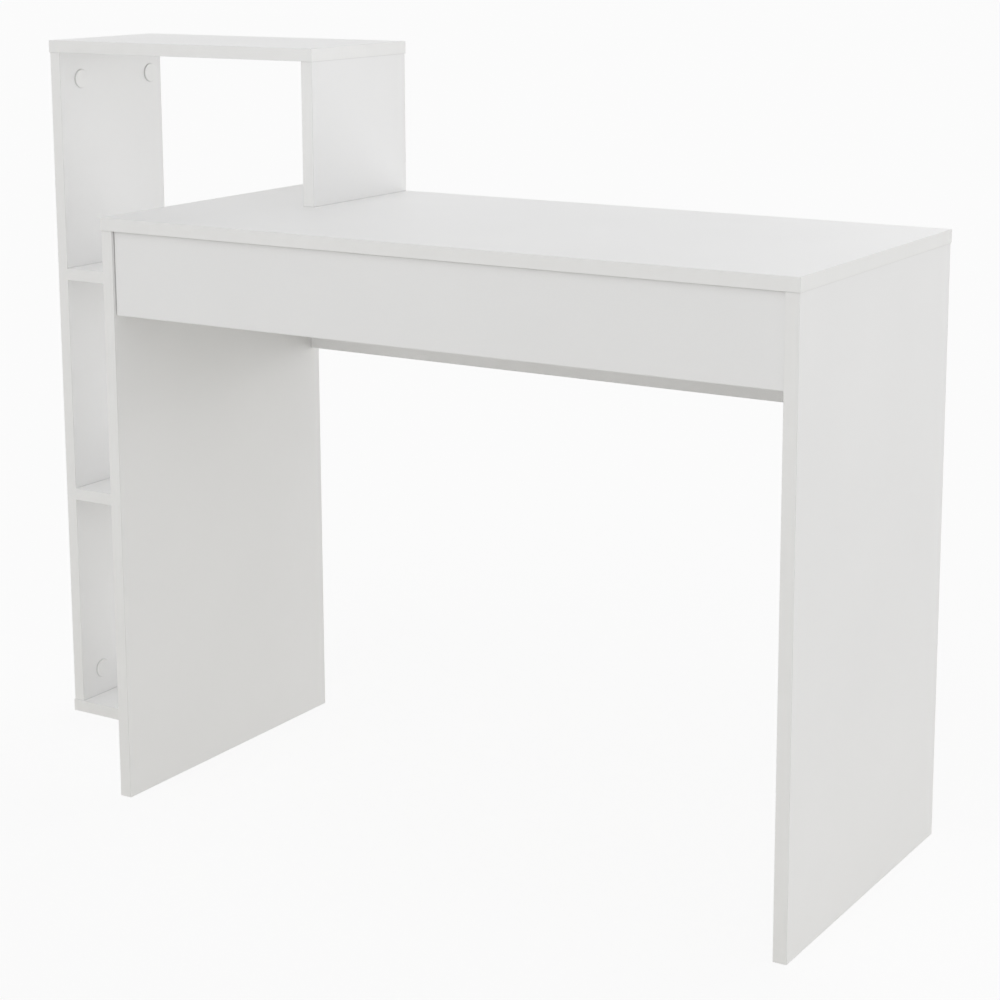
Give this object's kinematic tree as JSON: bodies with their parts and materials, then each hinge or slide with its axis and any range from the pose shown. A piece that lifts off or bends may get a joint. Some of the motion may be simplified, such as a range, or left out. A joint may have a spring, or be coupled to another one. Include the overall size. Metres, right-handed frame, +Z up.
{
  "type": "desk with shelves",
  "caption": "White board desk with a wide handleless drawer under its top and a tall open shelf unit at its left end, whose top shelf bridges onto the desktop.",
  "frame": {"origin": "on the floor, under the middle of the bounding box", "axes": "+X along the width, to the right seen from the front; +Y to the back; +Z up"},
  "size_m": [1.199, 0.42, 0.94],
  "materials": {
    "white_melamine": "matt white melamine on chipboard",
    "white_edge_band": "matt white edge band, a little warmer than the faces",
    "drawer_board": "white wrapped drawer board",
    "drawer_panel": "white lacquered fibreboard",
    "coated_steel": "white powder coated sheet steel",
    "white_nylon": "natural white nylon",
    "plain_steel": "zinc plated steel",
    "cast_zinc": "die cast zinc, bright",
    "beech": "fluted beech dowel",
    "white_cap": "matt white plastic"
  },
  "bodies": {
    "desk": {"base_board": "white_melamine", "base_board_edge_band": "white_edge_band", "cabinet_runner_screws": "plain_steel", "desk_cam_bolts": "plain_steel", "desk_cams": "cast_zinc", "desk_cover_caps": "white_cap", "desk_dowels": "beech", "desktop": "white_melamine", "desktop_edge_band": "white_edge_band", "front_roller_pins": "plain_steel", "left_cabinet_runner": "coated_steel", "left_side_panel": "white_melamine", "left_side_panel_edge_band": "white_edge_band", "lower_shelf": "white_melamine", "lower_shelf_edge_band": "white_edge_band", "outer_panel_cover_caps": "white_cap", "outer_side_panel": "white_melamine", "outer_side_panel_edge_band": "white_edge_band", "rear_rail": "white_melamine", "rear_rail_edge_band": "white_edge_band", "right_cabinet_runner": "coated_steel", "right_side_panel": "white_melamine", "right_side_panel_edge_band": "white_edge_band", "shelf_cover_caps": "white_cap", "short_upright": "white_melamine", "short_upright_edge_band": "white_edge_band", "top_shelf": "white_melamine", "top_shelf_edge_band": "white_edge_band", "unit_cam_bolts": "plain_steel", "unit_cams": "cast_zinc", "unit_dowels": "beech", "upper_shelf": "white_melamine", "upper_shelf_edge_band": "white_edge_band", "upright_cover_caps": "white_cap"},
    "drawer": {"drawer_back": "drawer_board", "drawer_back_screws": "plain_steel", "drawer_bottom": "drawer_panel", "drawer_cam_bolts": "plain_steel", "drawer_cams": "cast_zinc", "drawer_dowels": "beech", "drawer_front": "white_melamine", "drawer_front_edge_band": "white_edge_band", "drawer_left_side": "drawer_board", "drawer_right_side": "drawer_board", "drawer_runner_screws": "plain_steel", "left_drawer_runner": "coated_steel", "rear_roller_pins": "plain_steel", "right_drawer_runner": "coated_steel"},
    "roller_left_front": {"left_front_roller": "white_nylon"},
    "roller_left_rear": {"left_rear_roller": "white_nylon"},
    "roller_right_front": {"right_front_roller": "white_nylon"},
    "roller_right_rear": {"right_rear_roller": "white_nylon"}
  },
  "joints": [
    {"name": "drawer_slide", "type": "slide", "parent": "desk", "child": "drawer", "axis": [0, -1, 0], "range_m": [0, 0.26]},
    {"name": "roller_left_front_spin", "type": "hinge", "parent": "desk", "child": "roller_left_front", "pos_m": [-0.3079, -0.175, 0.6485], "axis": [1, 0, 0], "continuous": true},
    {"name": "roller_right_front_spin", "type": "hinge", "parent": "desk", "child": "roller_right_front", "pos_m": [0.5769, -0.175, 0.6485], "axis": [1, 0, 0], "continuous": true},
    {"name": "roller_left_rear_spin", "type": "hinge", "parent": "drawer", "child": "roller_left_rear", "pos_m": [-0.3066, 0.149, 0.6485], "axis": [1, 0, 0], "continuous": true},
    {"name": "roller_right_rear_spin", "type": "hinge", "parent": "drawer", "child": "roller_right_rear", "pos_m": [0.5756, 0.149, 0.6485], "axis": [1, 0, 0], "continuous": true}
  ],
  "couplings": [
    {"joint": "roller_left_front_spin", "follows": "drawer_slide", "rad_per_m": 105.26},
    {"joint": "roller_right_front_spin", "follows": "drawer_slide", "rad_per_m": 105.26},
    {"joint": "roller_left_rear_spin", "follows": "drawer_slide", "rad_per_m": 105.26},
    {"joint": "roller_right_rear_spin", "follows": "drawer_slide", "rad_per_m": 105.26}
  ]
}
